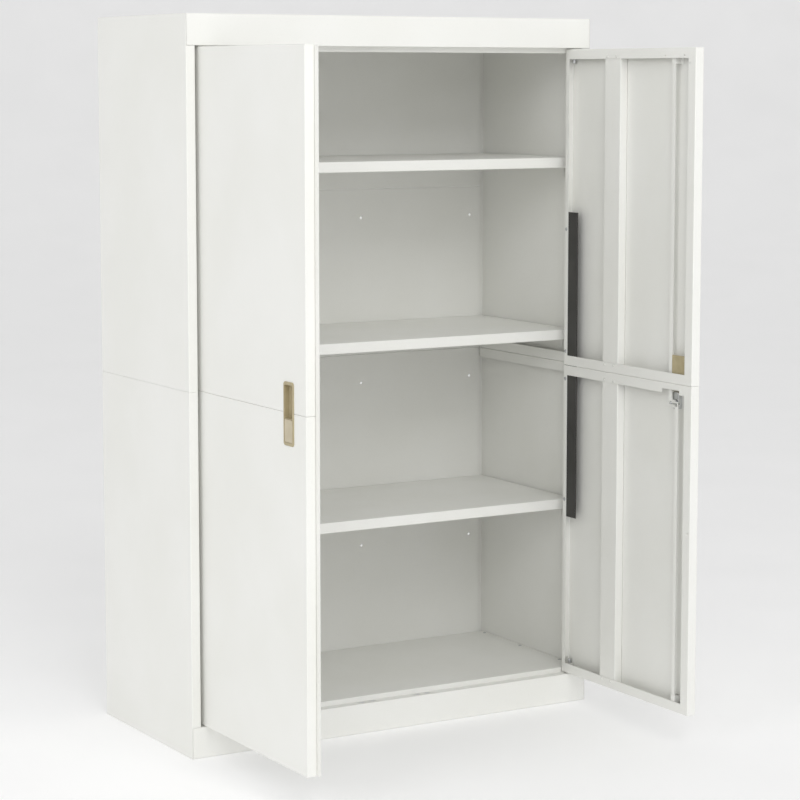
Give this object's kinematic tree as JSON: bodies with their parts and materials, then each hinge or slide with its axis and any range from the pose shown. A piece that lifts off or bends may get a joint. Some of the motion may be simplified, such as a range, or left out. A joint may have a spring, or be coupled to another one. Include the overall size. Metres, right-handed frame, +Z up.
{
  "type": "locker cabinet",
  "caption": "Tall two-door steel storage cabinet with shelves, flush recessed handles and a rod lock, doors standing open at right angles.",
  "frame": {"origin": "on the ground in the middle of the bounding box with both doors open at right angles; the carcass front face is 11 mm behind it", "axes": "+Z up, +X to the right seen from the front, +Y from the front to the back"},
  "size_m": [0.9, 0.822, 1.4],
  "materials": {
    "white_paint": "satin powder coat",
    "dark_bar": "matt",
    "tan_moulding": "satin moulded",
    "tan_plate": "satin moulded",
    "chrome_lock": "polished",
    "bush_plastic": "satin",
    "white_rivet": "glossy",
    "zinc_hardware": "zinc plated"
  },
  "bodies": {
    "cabinet": {"back_panel_1": "white_paint", "back_panel_2": "white_paint", "back_panel_3": "white_paint", "back_panel_4": "white_paint", "floor_panel": "white_paint", "floor_screws": "zinc_hardware", "left_floor_bracket": "white_paint", "left_hinge_bushes": "bush_plastic", "left_side_lower": "white_paint", "left_side_upper": "white_paint", "right_floor_bracket": "white_paint", "right_hinge_bushes": "bush_plastic", "right_side_lower": "white_paint", "right_side_upper": "white_paint", "shelf_clips_lower": "white_paint", "shelf_clips_middle": "white_paint", "shelf_clips_upper": "white_paint", "shelf_lower": "white_paint", "shelf_middle": "white_paint", "shelf_upper": "white_paint", "side_seam_screws": "zinc_hardware", "top_panel": "white_paint", "top_screws": "zinc_hardware"},
    "left_door": {"left_door_closing_strip": "white_paint", "left_door_handle": "tan_moulding", "left_door_handle_plate": "tan_plate", "left_door_hinge_blocks": "bush_plastic", "left_door_hinge_pins": "zinc_hardware", "left_door_rivets": "white_rivet", "left_door_seam_bolts": "zinc_hardware", "left_door_splice_bar": "dark_bar", "left_door_splice_screws": "zinc_hardware", "left_door_stiffener_lower": "white_paint", "left_door_stiffener_upper": "white_paint", "left_door_strip_rivets": "white_rivet", "left_door_tray_lower": "white_paint", "left_door_tray_upper": "white_paint"},
    "right_door": {"lock_housing": "chrome_lock", "lock_rod_guides": "white_paint", "right_door_handle": "tan_moulding", "right_door_handle_cover": "tan_moulding", "right_door_handle_plate": "tan_plate", "right_door_hinge_blocks": "bush_plastic", "right_door_hinge_pins": "zinc_hardware", "right_door_rivets": "white_rivet", "right_door_seam_bolts": "zinc_hardware", "right_door_splice_bar": "dark_bar", "right_door_splice_screws": "zinc_hardware", "right_door_stiffener_lower": "white_paint", "right_door_stiffener_upper": "white_paint", "right_door_tray_lower": "white_paint", "right_door_tray_upper": "white_paint"},
    "lock_barrel": {"lock_plug": "chrome_lock", "lock_cam": "chrome_lock"},
    "upper_lock_rod": {"lock_rod_upper": "white_paint"},
    "lower_lock_rod": {"lock_rod_lower": "white_paint"}
  },
  "joints": [
    {"name": "left_door_hinge", "type": "hinge", "parent": "cabinet", "child": "left_door", "pos_m": [-0.417, 0.018, 0.7], "axis": [0, 0, 1], "range_deg": [-20, 90]},
    {"name": "right_door_hinge", "type": "hinge", "parent": "cabinet", "child": "right_door", "pos_m": [0.417, 0.018, 0.7], "axis": [0, 0, -1], "range_deg": [-20, 90]},
    {"name": "lock_turn", "type": "hinge", "parent": "right_door", "child": "lock_barrel", "pos_m": [0.413, -0.336, 0.661], "axis": [1, 0, 0], "range_deg": [0, 90]},
    {"name": "upper_rod_slide", "type": "slide", "parent": "right_door", "child": "upper_lock_rod", "axis": [0, 0, 1], "range_m": [0, 0.0115]},
    {"name": "lower_rod_slide", "type": "slide", "parent": "right_door", "child": "lower_lock_rod", "axis": [0, 0, -1], "range_m": [0, 0.0116]}
  ],
  "couplings": [
    {"joint": "lock_turn", "follows": "upper_rod_slide", "rad_per_m": 136.58},
    {"joint": "lower_rod_slide", "follows": "upper_rod_slide", "ratio": 1}
  ]
}
